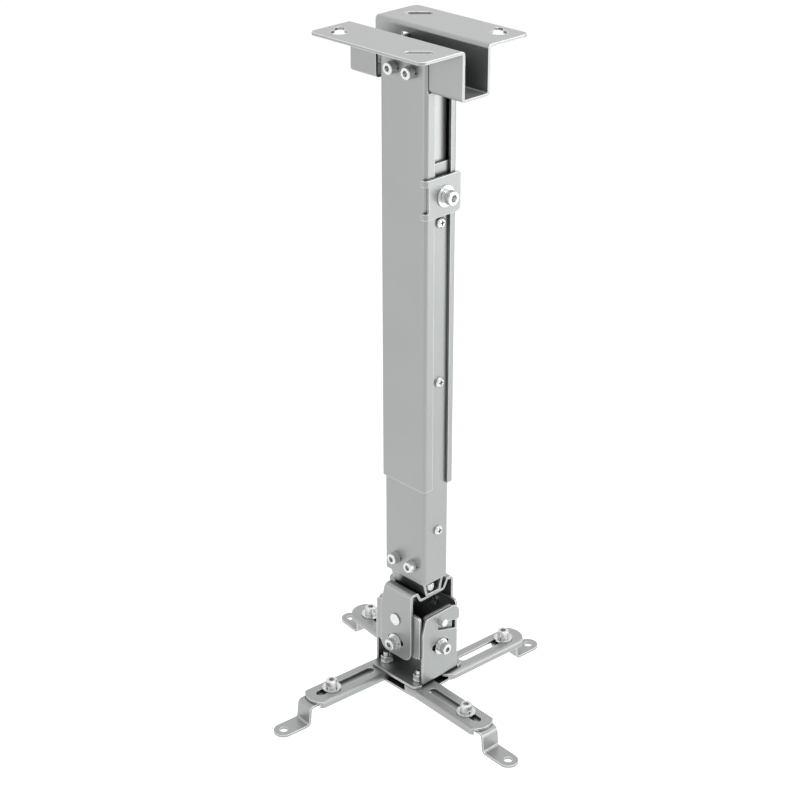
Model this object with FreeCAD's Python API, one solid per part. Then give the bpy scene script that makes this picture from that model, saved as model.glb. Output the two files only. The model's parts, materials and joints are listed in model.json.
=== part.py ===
"""Ceiling mount for a projector: a telescopic drop pole with a jointed cradle and four spider arms.

Units are millimetres. The origin is the centre of the ceiling plane, +Z is up.
+X runs along the ceiling bracket and -Y is the closed front of the pole; the pole's slot faces +X.
"""
import FreeCAD, Part
import math
import os

Vector = FreeCAD.Vector

# Sheet and running gaps
sheet = 2.0
thin_sheet = 1.5
bend = 3.0
running_gap = 0.3
bolted_gap = 0.25
seat_gap = 0.1
pin_clearance = 0.05

# Ceiling bracket
bracket_length = 105.0
bracket_width = 100.0
bracket_corner = 5.0
channel_width = 25.5
channel_depth = 34.3
flange_bend = 1.0
keyhole_place = 37.0
keyhole_radius = 5.8
keyhole_neck_radius = 3.2
keyhole_neck_run = 9.5
slot_place = 34.5
slot_run = 12.0
slot_radius = 3.7
web_slit_width = 8.0
web_slit_top = -6.3

# Outer pole
pole_length_x = 44.0
pole_top = -6.8
pole_bottom = -331.0
front_lip = 8.5
rear_lip = 6.2
top_screw_z = -22.0
top_screw_spread = 16.8

# Guide channel fixed under the bracket, inside the inner pole
guide_depth = 22.0
guide_bottom = -300.0
guide_tab = 17.0
guide_screw_spread = 9.0
guide_screw_inset = 9.0

# Inner pole and its clamp
inner_top = -85.2
inner_bottom = -410.5
web_screw_inset = 42.7
web_screw_count = 3
clamp_z = -107.6
clamp_plate_height = 28.2
clamp_overhang = 1.2
clamp_tab_height = 4.6
clamp_tab_reach = 4.8
slide_nut_height = 16.0
slide_nut_gap = 0.25

# Hanger in the foot of the inner pole, and the swivel bolt
hanger_height = 24.5
hanger_screw_rise = 13.5
hanger_screw_spread = 17.0
hanger_length_x = 34.0
hanger_web_z = -423.5
hanger_web_half = 7.3
swivel_shank_radius = 3.0
swivel_gap = 0.2

# Yoke
yoke_half_x = 16.0
yoke_half_y = 22.3
yoke_ridge_z = -417.0
yoke_dish_half = 11.5
yoke_ridge_y = 17.6
yoke_bottom = -475.2
yoke_corner = 8.0
yoke_shoulder_drop = 21.0
yoke_shoulder_step = 4.5
yoke_tab_radius = 9.5

# Cross bracket and the two pivot axes, which meet at one height
pivot_z = -443.5
cross_bottom = -473.0
cross_top = -434.5
cross_half_x = 22.7
cross_side_half_y = 14.4
cross_corner = 2.5
tilt_screw_drop = 19.5
roll_screw_drop = 22.0
pivot_range = 15.0
slot_end_spare = 0.8
tilt_pin_radius = 3.0
tilt_pin_head_radius = 4.7
tilt_pin_head = 1.2
roll_pin_radius = 3.0
roll_pin_neck = 0.6
roll_pin_reach = 5.0

# Base bracket, with hook slots in its ears
base_half_y = 25.5
base_top = -492.0
base_corner = 5.0
ear_front_y = 18.5
ear_rear_y = 17.8
ear_top = -436.2
ear_top_front_y = 15.4
ear_slant_drop = 14.0
ear_corner = 3.5
ear_relief = 1.0
ear_lobe_y = 20.0
ear_lobe_corner = 8.0
hook_drop = 4.8
hook_width = 7.0
hook_fall = 17.0
hook_lip_corner = 2.2

# Spider arms, in each arm's own frame: the pivot is at 0 and the arm runs along its length
pivot_x = 17.5
pivot_y = 15.0
arm_half_width = 11.3
arm_reach = 74.5
arm_end_sag = 6.5
arm_flange = 5.5
arm_slot_start = 13.0
arm_slot_end = 66.7
arm_slot_radius = 3.3
arm_bend = 2.6

# Feet, measured from the foot's own screw hole
foot_width = 15.0
foot_drop = 14.9
foot_bend = 3.0
foot_hole_radius = 3.0
foot_pad_reach = 19.0
long_foot_bend = 25.8
long_foot_inner = 44.0
long_foot_spare_hole = 39.5
short_foot_bend = 8.6
short_foot_inner = 10.0

# Fasteners
m5 = 2.5
m5_head_radius = 4.25
m5_head = 5.0
m5_nut_across = 8.0
m5_nut = 4.0
m5_hole = 2.75
m4 = 2.0
m4_head_radius = 3.8
m4_head = 2.5
m4_nut_across = 7.0
m4_nut = 3.2
m4_hole = 2.2
spring_washer_radius = 4.1
spring_washer = 1.3
small_washer_radius = 5.0
large_washer_radius = 7.1
washer = 1.2
swivel_head_across = 10.0
swivel_head = 4.0
swivel_nut = 5.0
swivel_washer_radius = 6.2
swivel_washer = 1.6
pivot_screw_head = 2.8
pivot_screw_end = 3.2

# Where each arm stands and how far along its arm each foot is clamped
ARMS = {
    "front_left": {"corner": (-1, -1), "heading": -90.0, "turn": -5.5, "screw_at": 52.8, "long": True},
    "front_right": {"corner": (1, -1), "heading": 0.0, "turn": -3.0, "screw_at": 51.7, "long": True},
    "rear_right": {"corner": (1, 1), "heading": 90.0, "turn": -4.5, "screw_at": 58.3, "long": False},
    "rear_left": {"corner": (-1, 1), "heading": 180.0, "turn": -7.5, "screw_at": 57.9, "long": False},
}

# Levels and widths that follow from the values above
pole_half_x = pole_length_x / 2
pole_half_y = channel_width / 2 + bolted_gap + sheet
inner_half_x = pole_half_x - sheet - running_gap
inner_half_y = pole_half_y - sheet - running_gap
slot_y = (-pole_half_y + front_lip + pole_half_y - rear_lip) / 2
guide_face_x = inner_half_x - sheet - 2 * running_gap
guide_half_y = inner_half_y - sheet - running_gap
hanger_half_y = inner_half_y - sheet - seat_gap
yoke_web_z = hanger_web_z - swivel_gap
cross_half_y = yoke_half_y - sheet - running_gap
base_half_x = cross_half_x + running_gap + sheet
arm_top = base_top - sheet - running_gap
arm_bottom = arm_top - arm_flange
foot_top = arm_top - sheet - running_gap
lower_plate_top = arm_bottom - running_gap


def point(axis, a, b, c):
    """A point whose flat coordinates are a, b and whose height along the axis is c."""
    if axis == "x":
        return Vector(c, a, b)
    if axis == "y":
        return Vector(a, c, b)
    return Vector(a, b, c)


def prism(axis, edges, low, high):
    """A closed flat outline, given as edges at height low, pushed along its axis to height high."""
    face = Part.Face(Part.Wire(Part.__sortEdges__(edges)))
    return face.extrude(point(axis, 0, 0, high - low))


def outline(axis, corners, radii, height):
    """Edges of a closed polygon whose corners are rounded, each by its own radius."""
    count = len(corners)
    edges = []
    joins = []
    for i in range(count):
        before, here, after = (corners[(i + k - 1) % count] for k in range(3))
        joins.append(round_corner(before, here, after, radii[i]))
    for i in range(count):
        start, middle, end, _ = joins[i]
        if radii[i] > 0:
            arc = Part.Arc(*(point(axis, p[0], p[1], height) for p in (start, middle, end)))
            edges.append(arc.toShape())
        following = joins[(i + 1) % count][0]
        if math.dist(end, following) > 1e-6:
            edges.append(Part.makeLine(point(axis, *end, height), point(axis, *following, height)))
    return edges


def round_corner(before, here, after, radius):
    """Start, middle and end of the arc that rounds a corner, and its centre."""
    if radius <= 0:
        return here, here, here, here
    u = unit(before, here)
    v = unit(here, after)
    turn = math.atan2(u[0] * v[1] - u[1] * v[0], u[0] * v[0] + u[1] * v[1])
    run = radius * math.tan(abs(turn) / 2)
    side = math.copysign(1.0, turn)
    start = (here[0] - u[0] * run, here[1] - u[1] * run)
    end = (here[0] + v[0] * run, here[1] + v[1] * run)
    centre = (start[0] - u[1] * side * radius, start[1] + u[0] * side * radius)
    reach = math.dist(centre, here)
    middle = tuple(centre[k] + (here[k] - centre[k]) * radius / reach for k in range(2))
    return start, middle, end, centre


def unit(start, end):
    """The direction from one flat point to another."""
    length = math.dist(start, end)
    return ((end[0] - start[0]) / length, (end[1] - start[1]) / length)


def folded_sheet(axis, path, radii, thickness, side, low, high):
    """A sheet folded along a path of its skin; side is 1 if the metal lies left of the path, else -1.

    radii are those of the skin at each inner corner of the path.
    """
    def corner_points(index, radius, offset):
        start, _, end, _ = round_corner(path[index - 1], path[index], path[index + 1], radius)
        u = unit(path[index - 1], path[index])
        v = unit(path[index], path[index + 1])
        turn = math.copysign(1.0, u[0] * v[1] - u[1] * v[0])
        centre = (start[0] - u[1] * turn * radius, start[1] + u[0] * turn * radius)
        share = (radius - offset * turn) / radius
        _, middle, _, _ = round_corner(path[index - 1], path[index], path[index + 1], radius)
        return [tuple(centre[k] + (p[k] - centre[k]) * share for k in range(2)) for p in (start, middle, end)]

    def skin(offset):
        first = unit(path[0], path[1])
        last = unit(path[-2], path[-1])
        pieces = [(path[0][0] - first[1] * offset, path[0][1] + first[0] * offset)]
        for i in range(1, len(path) - 1):
            pieces.append(corner_points(i, radii[i - 1], offset))
        pieces.append((path[-1][0] - last[1] * offset, path[-1][1] + last[0] * offset))
        return pieces

    def skin_edges(pieces):
        edges = []
        here = pieces[0]
        for piece in pieces[1:]:
            if isinstance(piece, list):
                start, middle, end = (point(axis, *p, low) for p in piece)
                edges.append(Part.makeLine(point(axis, *here, low), start))
                edges.append(Part.Arc(start, middle, end).toShape())
                here = piece[-1]
            else:
                edges.append(Part.makeLine(point(axis, *here, low), point(axis, *piece, low)))
        return edges

    outer = skin(0.0)
    inner = skin(side * thickness)
    caps = [Part.makeLine(point(axis, *outer[k], low), point(axis, *inner[k], low)) for k in (0, -1)]
    return prism(axis, skin_edges(outer) + skin_edges(inner) + caps, low, high)


def block(x, y, z):
    """A plain box between pairs of limits."""
    return Part.makeBox(x[1] - x[0], y[1] - y[0], z[1] - z[0], Vector(x[0], y[0], z[0]))


def rounded_block(axis, a, b, c, radius):
    """A box whose four edges along one axis are rounded."""
    corners = [(a[0], b[0]), (a[1], b[0]), (a[1], b[1]), (a[0], b[1])]
    return prism(axis, outline(axis, corners, [radius] * 4, c[0]), c[0], c[1])


def rod(axis, a, b, radius, low, high):
    """A round rod along an axis."""
    return Part.makeCylinder(radius, high - low, point(axis, a, b, low), point(axis, 0, 0, 1))


def slot_cutter(axis, start, end, radius, low, high):
    """A straight slot with round ends."""
    u = unit(start, end)
    n = (-u[1] * radius, u[0] * radius)
    tip_a = (start[0] - u[0] * radius, start[1] - u[1] * radius)
    tip_b = (end[0] + u[0] * radius, end[1] + u[1] * radius)
    a1, a2 = (start[0] + n[0], start[1] + n[1]), (start[0] - n[0], start[1] - n[1])
    b1, b2 = (end[0] + n[0], end[1] + n[1]), (end[0] - n[0], end[1] - n[1])
    at = [point(axis, *p, low) for p in (a1, tip_a, a2, b2, tip_b, b1)]
    edges = [Part.Arc(at[0], at[1], at[2]).toShape(), Part.makeLine(at[2], at[3]),
             Part.Arc(at[3], at[4], at[5]).toShape(), Part.makeLine(at[5], at[0])]
    return prism(axis, edges, low, high)


def arc_slot_cutter(axis, centre, reach, middle_angle, half_angle, radius, low, high):
    """A slot that follows a circle about a pivot, with round ends."""
    def polar(r, degrees):
        angle = math.radians(degrees)
        return point(axis, centre[0] + r * math.cos(angle), centre[1] + r * math.sin(angle), low)
    first, last = middle_angle - half_angle, middle_angle + half_angle
    tip = math.degrees(radius / reach)
    outer, inner = reach + radius, reach - radius
    edges = [Part.Arc(polar(outer, first), polar(outer, middle_angle), polar(outer, last)).toShape(),
             Part.Arc(polar(outer, last), polar(reach, last + tip), polar(inner, last)).toShape(),
             Part.Arc(polar(inner, last), polar(inner, middle_angle), polar(inner, first)).toShape(),
             Part.Arc(polar(inner, first), polar(reach, first - tip), polar(outer, first)).toShape()]
    return prism(axis, edges, low, high)


def stand(piece, seat, direction):
    """Turn a piece made along +Z to a direction and seat it at a point."""
    placed = piece.copy()
    placed.Placement = FreeCAD.Placement(Vector(*seat), FreeCAD.Rotation(Vector(0, 0, 1), Vector(*direction)))
    return placed


def hexagon(across, low, high, turn=0.0):
    """A six-sided bar along +Z."""
    reach = across / math.sqrt(3)
    corners = [(reach * math.cos(math.radians(60 * k + turn)), reach * math.sin(math.radians(60 * k + turn)))
               for k in range(6)]
    return prism("z", outline("z", corners, [0] * 6, low), low, high)


def chamfered_rod(radius, low, high, edge):
    """A round bar along +Z whose top rim is chamfered."""
    corners = [(0, low), (radius, low), (radius, high - edge), (radius - edge, high), (0, high)]
    face = Part.Face(Part.Wire(outline("y", corners, [0] * 5, 0)))
    return face.revolve(Vector(0, 0, 0), Vector(0, 0, 1), 360)


def cap_screw(shank):
    """A socket cap screw seated at 0: its head stands up and its shank goes down."""
    socket_across = 4.0
    socket_depth = 2.6
    head = chamfered_rod(m5_head_radius, 0, m5_head, 0.5)
    head = head.cut(hexagon(socket_across, m5_head - socket_depth, m5_head + 1))
    return head.fuse(rod("z", 0, 0, m5, -shank, 0)).removeSplitter()


def pan_screw(shank, radius=m4, head_radius=m4_head_radius, head=m4_head):
    """A low round-headed screw with a cross recess, seated at 0."""
    dome = chamfered_rod(head_radius, 0, head, head * 0.45)
    recess_arm = head_radius * 0.55
    recess_half = 0.55
    for a, b in ((recess_arm, recess_half), (recess_half, recess_arm)):
        dome = dome.cut(block((-a, a), (-b, b), (head * 0.4, head + 1)))
    return dome.fuse(rod("z", 0, 0, radius, -shank, 0)).removeSplitter()


def ring(radius, bore, thickness):
    """A flat washer that sits on 0."""
    return rod("z", 0, 0, radius, 0, thickness).cut(rod("z", 0, 0, bore, -1, thickness + 1))


def split_ring(thickness=spring_washer):
    """A spring washer: a ring with one slanted split."""
    split = block((0, spring_washer_radius + 1), (-0.5, 0.5), (-1, thickness + 1))
    split.rotate(Vector(0, 0, 0), Vector(1, 0, 0), 25)
    return ring(spring_washer_radius, m5 + 2 * pin_clearance, thickness).cut(split)


def nut(across, height, bore):
    """A six-sided nut that sits on 0, with its top rim chamfered."""
    body = hexagon(across, 0, height)
    crown = chamfered_rod(across / math.sqrt(3) - 0.05, 0, height, 0.5)
    return body.common(crown).cut(rod("z", 0, 0, bore + pin_clearance, -1, height + 1))


def group(pieces):
    """Separate solids kept as one node."""
    return pieces[0] if len(pieces) == 1 else Part.makeCompound(pieces)


def make_ceiling_bracket():
    half = channel_width / 2
    edge = bracket_width / 2
    path = [(-edge, -sheet), (-half, -sheet), (-half, -channel_depth), (half, -channel_depth),
            (half, -sheet), (edge, -sheet)]
    span = bracket_length / 2
    piece = folded_sheet("x", path, [flange_bend, bend, bend, flange_bend], sheet, 1, -span, span)
    piece = piece.common(rounded_block("z", (-span, span), (-edge, edge), (-channel_depth - 1, 1), bracket_corner))
    for side in (-1, 1):
        x, y = side * keyhole_place, side * keyhole_place
        neck = keyhole_neck_run / math.sqrt(2)
        piece = piece.cut(rod("z", x, y, keyhole_radius, -sheet - 1, 1))
        piece = piece.cut(slot_cutter("z", (x, y), (x - neck, y + neck), keyhole_neck_radius, -sheet - 1, 1))
        x, y = side * slot_place, -side * slot_place
        run = slot_run / 2 / math.sqrt(2)
        piece = piece.cut(slot_cutter("z", (x - run, y - run), (x + run, y + run), slot_radius, -sheet - 1, 1))
    slit_x = (-pole_half_x - web_slit_width + sheet + running_gap, -pole_half_x + sheet + running_gap)
    piece = piece.cut(block(slit_x, (-half - 1, half + 1), (-channel_depth - 1, web_slit_top)))
    for x in (-1, 1):
        for side in (-1, 1):
            low, high = sorted((side * (half + 1), side * (half - sheet - 1)))
            piece = piece.cut(rod("y", x * top_screw_spread / 2, top_screw_z, m5_hole, low, high))
    for x in guide_screw_x():
        piece = piece.cut(rod("z", x, 0, m4_hole, -channel_depth - 1, -channel_depth + sheet + 1))
    return piece


def guide_screw_x():
    """The two screws that hold the guide channel's top tab."""
    middle = guide_face_x - guide_screw_inset - guide_screw_spread / 2
    return middle - guide_screw_spread / 2, middle + guide_screw_spread / 2


def make_outer_pole():
    x, y = pole_half_x, pole_half_y
    path = [(x, -y + front_lip), (x, -y), (-x, -y), (-x, y), (x, y), (x, y - rear_lip)]
    piece = folded_sheet("z", path, [bend] * 4, sheet, -1, pole_bottom, pole_top)
    channel = channel_width / 2 + running_gap
    notch_bottom = -channel_depth - running_gap
    piece = piece.cut(block((x - sheet - bend, x + 1), (-channel, channel), (notch_bottom, pole_top + 1)))
    for side in (-1, 1):
        for spread in (-1, 1):
            low, high = sorted((side * (y + 1), side * (y - sheet - 0.5)))
            piece = piece.cut(rod("y", spread * top_screw_spread / 2, top_screw_z, m5_hole, low, high))
    return piece


def make_guide_channel():
    top = -channel_depth
    x_back = guide_face_x - guide_depth
    path = [(x_back, -guide_half_y), (guide_face_x, -guide_half_y), (guide_face_x, guide_half_y),
            (x_back, guide_half_y)]
    inner_bend = thin_sheet + 1.0
    channel = folded_sheet("z", path, [inner_bend] * 2, thin_sheet, 1, guide_bottom, top)
    tab_half = guide_half_y - inner_bend - 0.5
    tab_path = [(guide_face_x, top - 4 * thin_sheet), (guide_face_x, top), (guide_face_x - guide_tab, top)]
    tab = folded_sheet("y", tab_path, [inner_bend], thin_sheet, 1, -tab_half, tab_half)
    relief = block((guide_face_x - inner_bend, guide_face_x + 1), (-tab_half, tab_half), (top - inner_bend, top + 1))
    piece = channel.cut(relief).fuse(tab).removeSplitter()
    for x in guide_screw_x():
        piece = piece.cut(rod("z", x, 0, m4_hole, top - thin_sheet - 1, top + 1))
    return piece


def make_inner_pole():
    x, y = inner_half_x, inner_half_y
    path = [(-x, -y), (x, -y), (x, y), (-x, y)]
    piece = folded_sheet("z", path, [bend] * 2, sheet, 1, inner_bottom, inner_top)
    for z in web_screw_z():
        piece = piece.cut(rod("x", slot_y, z, m4 + pin_clearance, x - sheet - 1, x + 1))
    piece = piece.cut(rod("x", slot_y, clamp_z, m5 + pin_clearance, x - sheet - 1, x + 1))
    for side in (-1, 1):
        for spread in (-1, 1):
            low, high = sorted((side * (y + 1), side * (y - sheet - 0.5)))
            hole = rod("y", spread * hanger_screw_spread / 2, inner_bottom + hanger_screw_rise, m5_hole, low, high)
            piece = piece.cut(hole)
    return piece


def web_screw_z():
    """Heights of the web screws, evenly spread between equal insets."""
    first = inner_top - web_screw_inset
    last = inner_bottom + web_screw_inset
    return [first + (last - first) * k / (web_screw_count - 1) for k in range(web_screw_count)]


def make_slide_nut():
    """The key that runs in the pole's slot and takes the clamp screw."""
    half_slot = (2 * pole_half_y - front_lip - rear_lip) / 2 - slide_nut_gap
    z = (clamp_z - slide_nut_height / 2, clamp_z + slide_nut_height / 2)
    x = (inner_half_x, pole_half_x + running_gap)
    key = rounded_block("x", (slot_y - half_slot, slot_y + half_slot), z, x, 1.5)
    return key.cut(rod("x", slot_y, clamp_z, m5 + pin_clearance, x[0] - 1, x[1] + 1))


def make_clamp_plate():
    """A plate over both lips; two hooks on its edge wrap round the pole's front corner."""
    back = pole_half_x + running_gap
    front = back + sheet
    rear_y = pole_half_y + clamp_overhang
    near_y = pole_half_y + running_gap + sheet
    z = (clamp_z - clamp_plate_height / 2, clamp_z + clamp_plate_height / 2)
    path = [(front - clamp_tab_reach, -near_y), (front, -near_y), (front, rear_y)]
    piece = folded_sheet("z", path, [bend], sheet, 1, z[0], z[1])
    window_z = (z[0] + clamp_tab_height, z[1] - clamp_tab_height)
    window = rounded_block("x", (-near_y - 2, -pole_half_y + 1.2), window_z, (0, front + 1), 1.0)
    piece = piece.cut(window)
    corner = [(-near_y - 1, z[0]), (rear_y, z[0]), (rear_y, z[1]), (-near_y - 1, z[1])]
    trim = prism("x", outline("x", corner, [0, 4.0, 1.5, 0], 0), 0, front + 1)
    piece = piece.common(trim)
    return piece.cut(rod("x", slot_y, clamp_z, m5_hole, back - 1, front + 1))


def make_hanger():
    """A trough in the foot of the inner pole; its sides close in to a narrow web under the pole."""
    top = inner_bottom + hanger_height
    half = hanger_length_x / 2
    knee = inner_bottom - 0.5
    low = hanger_web_z
    path = [(-hanger_half_y, top), (-hanger_half_y, knee), (-hanger_web_half, low),
            (hanger_web_half, low), (hanger_half_y, knee), (hanger_half_y, top)]
    piece = folded_sheet("x", path, [3.0, bend, bend, 3.0], sheet, 1, -half, half)
    for side in (-1, 1):
        for spread in (-1, 1):
            limits = sorted((side * (hanger_half_y + 1), side * (hanger_half_y - sheet - 0.5)))
            hole = rod("y", spread * hanger_screw_spread / 2, inner_bottom + hanger_screw_rise, m5_hole, *limits)
            piece = piece.cut(hole)
    bore = swivel_shank_radius + pin_clearance
    return piece.cut(rod("z", 0, 0, bore, hanger_web_z - 1, hanger_web_z + sheet + 1))


def make_yoke():
    """Two ears hang from a dished web with a raised ridge along each side."""
    half = yoke_half_y
    web = yoke_web_z
    path = [(-half, yoke_bottom), (-half, yoke_ridge_z), (-yoke_ridge_y + 2.4, yoke_ridge_z),
            (-yoke_dish_half, web), (yoke_dish_half, web), (yoke_ridge_y - 2.4, yoke_ridge_z),
            (half, yoke_ridge_z), (half, yoke_bottom)]
    radii = [bend + 0.6, 2.6, 1.2, 1.2, 2.6, bend + 0.6]
    reach = yoke_half_x + yoke_tab_radius
    piece = folded_sheet("x", path, radii, sheet, -1, -reach, yoke_half_x)
    side = [(-yoke_half_x, yoke_bottom), (yoke_half_x, yoke_bottom), (yoke_half_x, 0.0),
            (-yoke_half_x + yoke_shoulder_step, 0.0),
            (-yoke_half_x + yoke_shoulder_step, yoke_ridge_z + 1),
            (-yoke_half_x, yoke_ridge_z - yoke_shoulder_drop)]
    trim = prism("y", outline("y", side, [yoke_corner, yoke_corner, 0, 0, 0, 6.0], -half - 1), -half - 1, half + 1)
    tab_y = (-yoke_tab_radius, yoke_tab_radius)
    tab = slot_cutter("z", (-yoke_half_x, 0), (0, 0), yoke_tab_radius, web - sheet - 1, web + 1)
    web_trim = block((-yoke_half_x, yoke_half_x), tab_y, (web - sheet - 1, web + 1))
    piece = piece.common(trim.fuse(web_trim).fuse(tab))
    piece = piece.cut(rod("z", 0, 0, swivel_shank_radius + pin_clearance, web - sheet - 1, web + 1))
    for sign in (-1, 1):
        low, high = sorted((sign * (half + 1), sign * (half - sheet - 1)))
        piece = piece.cut(rod("y", 0, pivot_z, tilt_pin_radius + pin_clearance, low, high))
        piece = piece.cut(arc_slot_cutter("y", (0, pivot_z), tilt_screw_drop, -90, pivot_range + slot_end_spare,
                                          m5_hole, low, high))
    return piece


def make_cross_bracket():
    """A folded cup: two walls carry the tilt pins and two the roll pins, with open corners between."""
    x, y = cross_half_x, cross_half_y
    side_top = cross_top - 1.5
    path = [(-y, cross_top), (-y, cross_bottom), (y, cross_bottom), (y, cross_top)]
    piece = folded_sheet("x", path, [bend, bend], sheet, 1, -x + bend, x - bend)
    front = prism("y", outline("y", [(-x, cross_bottom + bend), (x, cross_bottom + bend), (x, cross_top),
                                     (-x, cross_top)], [0, 0, cross_corner, cross_corner], -y), -y, -y + sheet)
    rear = front.copy()
    rear.translate(Vector(0, 2 * y - sheet, 0))
    trim = rounded_block("y", (-x, x), (cross_bottom - 1, cross_top), (-y - 1, y + 1), cross_corner)
    piece = piece.fuse(front).fuse(rear).common(trim)
    path = [(-x, side_top), (-x, cross_bottom), (x, cross_bottom), (x, side_top)]
    sides = folded_sheet("y", path, [bend, bend], sheet, 1, -cross_side_half_y, cross_side_half_y)
    trim = rounded_block("x", (-cross_side_half_y, cross_side_half_y), (cross_bottom - 4 * bend, side_top),
                         (-x - 1, x + 1), cross_corner)
    piece = piece.fuse(sides.common(trim)).removeSplitter()
    for sign in (-1, 1):
        low, high = sorted((sign * (y + 1), sign * (y - sheet - 1)))
        piece = piece.cut(rod("y", 0, pivot_z, tilt_pin_radius + pin_clearance, low, high))
        piece = piece.cut(rod("y", 0, pivot_z - tilt_screw_drop, m5_hole, low, high))
        low, high = sorted((sign * (x + 1), sign * (x - sheet - 1)))
        piece = piece.cut(rod("x", 0, pivot_z, roll_pin_radius - roll_pin_neck + pin_clearance, low, high))
        piece = piece.cut(rod("x", 0, pivot_z - roll_screw_drop, m5_hole, low, high))
    return piece


def make_tilt_pins():
    """Two headed pins, one in each yoke ear."""
    pins = []
    for sign in (-1, 1):
        inner = cross_half_y - sheet
        outer = yoke_half_y
        pin = rod("z", 0, 0, tilt_pin_radius, inner - tilt_pin_head, outer + pin_clearance * 3)
        cap = chamfered_rod(tilt_pin_head_radius, outer + pin_clearance * 3,
                            outer + pin_clearance * 3 + tilt_pin_head, 0.3)
        tail = rod("z", 0, 0, tilt_pin_head_radius, inner - tilt_pin_head, inner)
        pins.append(stand(pin.fuse(cap).fuse(tail).removeSplitter(), (0, 0, pivot_z), (0, sign, 0)))
    return group(pins)


def make_roll_pins():
    """Two studs riveted in the cross bracket; the hooks of the base bracket hang on them."""
    pins = []
    for sign in (-1, 1):
        inner = cross_half_x - sheet
        tail_radius = roll_pin_radius - roll_pin_neck
        stud = chamfered_rod(roll_pin_radius, cross_half_x, base_half_x + roll_pin_reach, 0.5)
        tail = rod("z", 0, 0, tail_radius, inner - 1.0, cross_half_x)
        rivet = rod("z", 0, 0, roll_pin_radius + 0.9, inner - 1.2, inner)
        pins.append(stand(stud.fuse(tail).fuse(rivet).removeSplitter(), (0, 0, pivot_z), (sign, 0, 0)))
    return group(pins)


def joint_seats():
    """Outer face, direction and height of the four screws that lock tilt and roll."""
    tilt = pivot_z - tilt_screw_drop
    roll = pivot_z - roll_screw_drop
    return [((0, sign * (yoke_half_y + running_gap / 2), tilt), (0, sign, 0), cross_half_y - sheet)
            for sign in (-1, 1)] + \
           [((sign * (base_half_x + running_gap / 2), 0, roll), (sign, 0, 0), cross_half_x - sheet)
            for sign in (-1, 1)]


def joint_hardware():
    """The screws, spring washers, washers and nuts on those four seats."""
    screws, springs, washers, nuts = [], [], [], []
    for seat, direction, inside in joint_seats():
        base = Vector(*seat)
        out = Vector(*direction)
        reach = abs(base.dot(out))
        stack = washer + spring_washer
        washers.append(stand(ring(small_washer_radius + 1.4, m5 + 2 * pin_clearance, washer), seat, direction))
        springs.append(stand(split_ring(), tuple(base + out * washer), direction))
        shank = reach - inside + stack + m5_nut + 1.0
        screws.append(stand(cap_screw(shank), tuple(base + out * stack), direction))
        inner_face = base - out * (reach - inside)
        nuts.append(stand(nut(m5_nut_across, m5_nut, m5), tuple(inner_face), tuple(out * -1)))
    return group(screws), group(springs), group(washers), group(nuts)


def ear_outline(low):
    """Corners and radii of an ear with its hook slot, which falls towards an open mouth at the rear."""
    seat = roll_pin_radius + pin_clearance
    seat_top = pivot_z + seat
    slope = math.tan(math.radians(hook_fall))
    half = hook_width / 2 / math.cos(math.radians(hook_fall))

    def slot_edge(y, side):
        return y, pivot_z - hook_drop - slope * y + side * half

    shape = [((-ear_front_y, low), 0), ((ear_rear_y, low), 0), (slot_edge(ear_rear_y, -1), 1.5),
             (slot_edge(-seat, -1), seat), ((-seat, seat_top), seat), ((seat, seat_top), seat),
             (slot_edge(seat, 1), 1.0), (slot_edge(ear_lobe_y, 1), hook_lip_corner),
             ((ear_lobe_y, ear_top), ear_lobe_corner), ((-ear_top_front_y, ear_top), ear_corner),
             ((-ear_front_y, ear_top - ear_slant_drop), 2 * ear_corner)]
    return [corner for corner, _ in shape], [radius for _, radius in shape]


def make_base_bracket():
    """A base plate with two ears; each ear hangs on a roll pin by a hook slot open to the rear."""
    x = base_half_x
    bottom = base_top - sheet
    path = [(-x, ear_top), (-x, bottom), (x, bottom), (x, ear_top)]
    ears = folded_sheet("y", path, [bend, bend], sheet, 1, -base_half_y, base_half_y)
    ear_trim = prism("x", outline("x", *ear_outline(bottom - 1), -x - 1), -x - 1, x + 1)
    plate = rounded_block("z", (-x, x), (-base_half_y, base_half_y), (bottom, base_top), base_corner)
    for sign in (-1, 1):
        notch_x = sorted((sign * (x - bend - 0.5), sign * (x + 1)))
        notch_y = (-ear_front_y - ear_relief, ear_rear_y + ear_relief)
        plate = plate.cut(block(notch_x, notch_y, (bottom - 1, base_top + 1)))
    piece = ears.common(ear_trim).fuse(plate).removeSplitter()
    for sign in (-1, 1):
        low, high = sorted((sign * (x + 1), sign * (x - sheet - 1)))
        piece = piece.cut(arc_slot_cutter("x", (0, pivot_z), roll_screw_drop, -90, pivot_range + slot_end_spare,
                                          m5_hole, low, high))
    for px, py in pivot_places():
        piece = piece.cut(rod("z", px, py, m5_hole, bottom - 1, base_top + 1))
    return piece


def pivot_places():
    """Centres of the four arm pivots."""
    return [(arm["corner"][0] * pivot_x, arm["corner"][1] * pivot_y) for arm in ARMS.values()]


def make_lower_plate():
    x, y = base_half_x - 0.5, base_half_y - 0.5
    plate = rounded_block("z", (-x, x), (-y, y), (lower_plate_top - sheet, lower_plate_top), base_corner + 1)
    for px, py in pivot_places():
        plate = plate.cut(rod("z", px, py, m5_hole, lower_plate_top - sheet - 1, lower_plate_top + 1))
    return plate


def pivot_hardware():
    """Screws from below, with a washer and a nut on the base plate."""
    under = lower_plate_top - sheet
    stack = washer + m5_nut + pivot_screw_end
    screws, washers, nuts = [], [], []
    for px, py in pivot_places():
        shank = base_top - under + stack
        screw = pan_screw(shank, m5, m5_head_radius + 0.4, pivot_screw_head)
        screws.append(stand(screw, (px, py, under), (0, 0, -1)))
        washers.append(stand(ring(small_washer_radius, m5 + 2 * pin_clearance, washer), (px, py, base_top),
                             (0, 0, 1)))
        nuts.append(stand(nut(m5_nut_across, m5_nut, m5), (px, py, base_top + washer), (0, 0, 1)))
    return group(screws), group(washers), group(nuts)


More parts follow.
